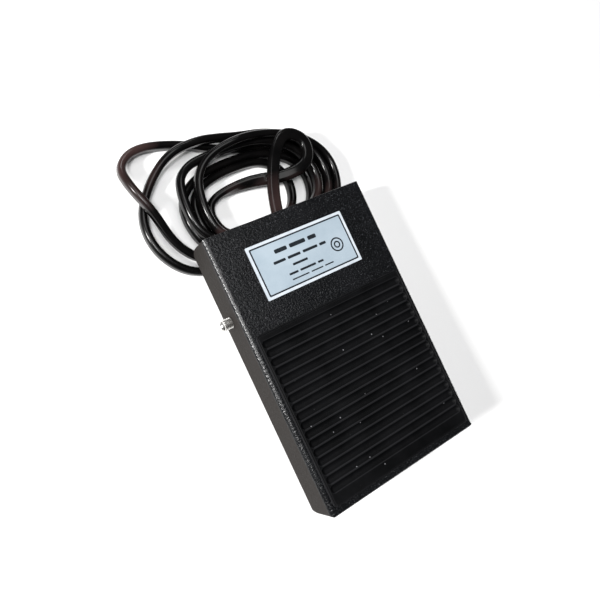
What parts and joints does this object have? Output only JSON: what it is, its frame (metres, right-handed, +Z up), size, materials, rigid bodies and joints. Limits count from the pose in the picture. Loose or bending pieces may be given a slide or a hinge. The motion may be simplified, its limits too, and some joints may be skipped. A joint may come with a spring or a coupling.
{
  "type": "foot pedal switch",
  "caption": "Low foot pedal switch with a ribbed tread, a hinged folded steel treadle over a tray, and a flat cord coiled behind.",
  "frame": {"origin": "on the floor under the middle of the pedal", "axes": "+X to the pedal's right seen from its front, +Y from the toe end to the cord's end, +Z up"},
  "size_m": [0.0934, 0.1461, 0.0284],
  "materials": {
    "treadle_paint": "satin powder coat",
    "tray_paint": "satin powder coat",
    "tread_rubber": "matte",
    "label_foil": "satin printed foil",
    "zinc_plate": "zinc plated",
    "plain_steel": "bright",
    "spring_steel": "bright drawn",
    "black_rubber": "matte",
    "white_nylon": "matte",
    "switch_plastic": "satin moulded",
    "plunger_plastic": "satin moulded",
    "brass_strip": "bright",
    "cord_sheath": "glossy soft plastic",
    "core_insulation": "satin",
    "tinned_strands": "tinned strands"
  },
  "bodies": {
    "base": {"base_tray": "tray_paint", "pivot_screw": "zinc_plate", "head_washer": "zinc_plate", "pivot_nut": "zinc_plate", "clinch_nuts": "zinc_plate", "switch_screws": "zinc_plate", "switch_nuts": "zinc_plate", "bracket_rivets": "zinc_plate", "foot_rivets": "zinc_plate", "switch_bracket": "zinc_plate", "pivot_sleeve": "plain_steel", "lever_pin": "plain_steel", "return_spring": "spring_steel", "rubber_feet": "black_rubber", "front_bumper": "black_rubber", "rear_bumpers": "black_rubber", "cord_gland": "black_rubber", "pivot_bushes": "white_nylon", "spring_seat_lower": "white_nylon", "cord_tie": "white_nylon", "switch_case": "switch_plastic", "switch_cover": "switch_plastic", "terminal_com": "brass_strip", "terminal_no": "brass_strip", "terminal_nc": "brass_strip", "cord_lead": "cord_sheath", "cord_coil": "cord_sheath", "cord_loop_a": "cord_sheath", "cord_loop_b": "cord_sheath", "cord_tail": "cord_sheath", "cord_inner": "cord_sheath", "wire_com": "core_insulation", "wire_no": "core_insulation", "tail_cores": "core_insulation", "tail_tips": "tinned_strands"},
    "treadle": {"treadle": "treadle_paint", "tread_pad": "tread_rubber", "label_plate": "label_foil", "striker": "white_nylon", "spring_seat_upper": "white_nylon"},
    "lever": {"switch_lever": "plain_steel"},
    "plunger": {"switch_plunger": "plunger_plastic"},
    "blade": {"contact_blade": "brass_strip"}
  },
  "joints": [
    {"name": "treadle_press", "type": "hinge", "parent": "base", "child": "treadle", "pos_m": [0, 0.0226, 0.0148], "axis": [1, 0, 0], "range_deg": [0, 4.5], "stiffness_Nm_per_rad": 2.2, "springref_deg": -8.82, "deforming": ["return_spring"]},
    {"name": "lever_tilt", "type": "hinge", "parent": "base", "child": "lever", "pos_m": [0, -0.035, 0.0193], "axis": [1, 0, 0], "range_deg": [-9, 0]},
    {"name": "plunger_travel", "type": "slide", "parent": "base", "child": "plunger", "axis": [0, 0, 1], "range_m": [-0.0011, 0]},
    {"name": "blade_snap", "type": "hinge", "parent": "base", "child": "blade", "pos_m": [0, -0.0342, 0.0154], "axis": [1, 0, 0], "range_deg": [-2.6, 0]}
  ],
  "couplings": [
    {"joint": "lever_tilt", "follows": "treadle_press", "ratio": -1.94},
    {"joint": "plunger_travel", "follows": "treadle_press", "m_per_rad": -0.013},
    {"joint": "blade_snap", "follows": "treadle_press", "ratio": -0.5556}
  ]
}
